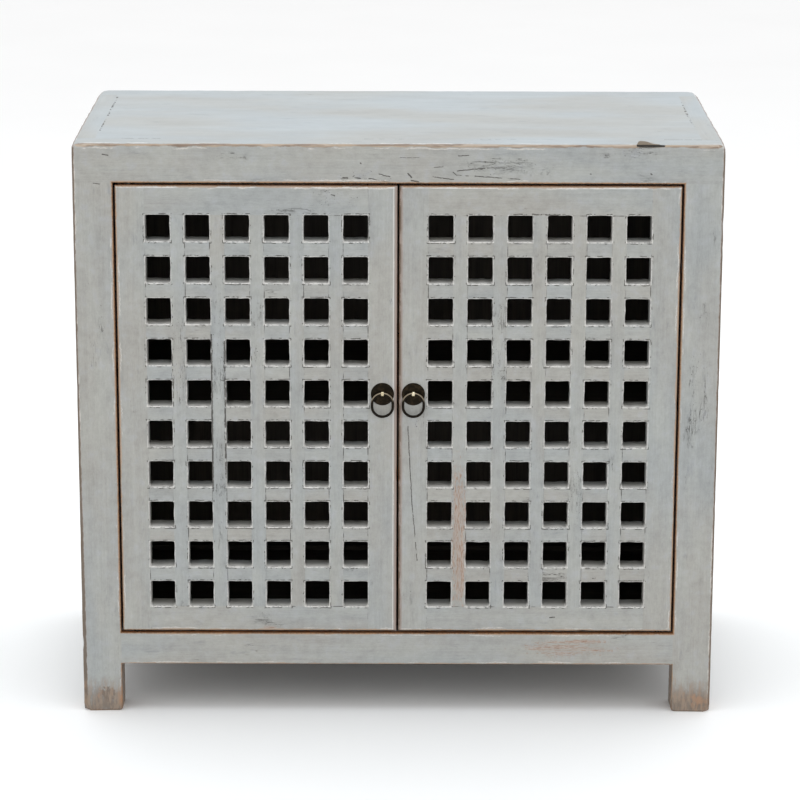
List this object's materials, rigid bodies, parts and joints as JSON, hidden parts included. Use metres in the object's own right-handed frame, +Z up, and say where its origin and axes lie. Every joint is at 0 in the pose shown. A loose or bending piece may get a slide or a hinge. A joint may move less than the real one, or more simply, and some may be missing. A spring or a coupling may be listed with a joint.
{
  "type": "book cabinet",
  "caption": "Low wooden book cabinet with two inset lattice doors on pivot pins, ring pulls, an inner shelf and square legs, in worn pale grey paint.",
  "frame": {"origin": "middle of the cabinet's floor area, on the floor", "axes": "+X to the right seen from the front, +Y to the back, +Z up"},
  "size_m": [0.95, 0.4716, 0.875],
  "materials": {
    "painted_wood": "matt light grey paint on old timber, rubbed through to brown along the edges",
    "inner_wood": "bare aged timber, dark brown and dry",
    "dark_bronze": "dark aged bronze, worn brighter where it is touched",
    "yellow_brass": "yellow brass rubbed bright by the ring",
    "pivot_iron": "plain dark iron pin"
  },
  "bodies": {
    "cabinet": {"front_left_post": "painted_wood", "front_right_post": "painted_wood", "back_left_post": "painted_wood", "back_right_post": "painted_wood", "top_front_rail": "painted_wood", "top_back_rail": "painted_wood", "top_left_rail": "painted_wood", "top_right_rail": "painted_wood", "bottom_front_rail": "painted_wood", "bottom_back_rail": "painted_wood", "bottom_left_rail": "painted_wood", "bottom_right_rail": "painted_wood", "left_side_panel": "painted_wood", "right_side_panel": "painted_wood", "back_middle_rail": "painted_wood", "lower_back_panel": "inner_wood", "upper_back_panel": "inner_wood", "top_front_plank": "painted_wood", "top_back_plank": "painted_wood", "top_batten": "inner_wood", "floor_front_plank": "inner_wood", "floor_back_plank": "inner_wood", "floor_batten": "inner_wood", "left_shelf_bearer": "inner_wood", "right_shelf_bearer": "inner_wood", "shelf_front_plank": "inner_wood", "shelf_back_plank": "inner_wood", "door_stop": "inner_wood"},
    "left_door": {"left_door_hinge_stile": "painted_wood", "left_door_meeting_stile": "painted_wood", "left_door_top_rail": "painted_wood", "left_door_bottom_rail": "painted_wood", "left_door_crossbars": "painted_wood", "left_door_upright_1": "painted_wood", "left_door_upright_2": "painted_wood", "left_door_upright_3": "painted_wood", "left_door_upright_4": "painted_wood", "left_door_upright_5": "painted_wood", "left_door_lower_pivot": "pivot_iron", "left_door_upper_pivot": "pivot_iron", "left_pull_plate": "dark_bronze", "left_pull_staple": "yellow_brass"},
    "left_ring": {"left_pull_ring": "dark_bronze"},
    "right_door": {"right_door_hinge_stile": "painted_wood", "right_door_meeting_stile": "painted_wood", "right_door_top_rail": "painted_wood", "right_door_bottom_rail": "painted_wood", "right_door_crossbars": "painted_wood", "right_door_upright_1": "painted_wood", "right_door_upright_2": "painted_wood", "right_door_upright_3": "painted_wood", "right_door_upright_4": "painted_wood", "right_door_upright_5": "painted_wood", "right_door_lower_pivot": "pivot_iron", "right_door_upper_pivot": "pivot_iron", "right_pull_plate": "dark_bronze", "right_pull_staple": "yellow_brass"},
    "right_ring": {"right_pull_ring": "dark_bronze"}
  },
  "joints": [
    {"name": "left_door_hinge", "type": "hinge", "parent": "cabinet", "child": "left_door", "pos_m": [-0.39329, -0.22, 0.1254], "axis": [0, 0, -1], "range_deg": [0, 110]},
    {"name": "left_ring_swing", "type": "hinge", "parent": "left_door", "child": "left_ring", "pos_m": [-0.02287, -0.2366, 0.5022], "axis": [-1, 0, 0], "range_deg": [-6, 165]},
    {"name": "right_door_hinge", "type": "hinge", "parent": "cabinet", "child": "right_door", "pos_m": [0.39329, -0.22, 0.1254], "axis": [0, 0, 1], "range_deg": [0, 110]},
    {"name": "right_ring_swing", "type": "hinge", "parent": "right_door", "child": "right_ring", "pos_m": [0.02287, -0.2366, 0.5022], "axis": [-1, 0, 0], "range_deg": [-6, 165]}
  ]
}
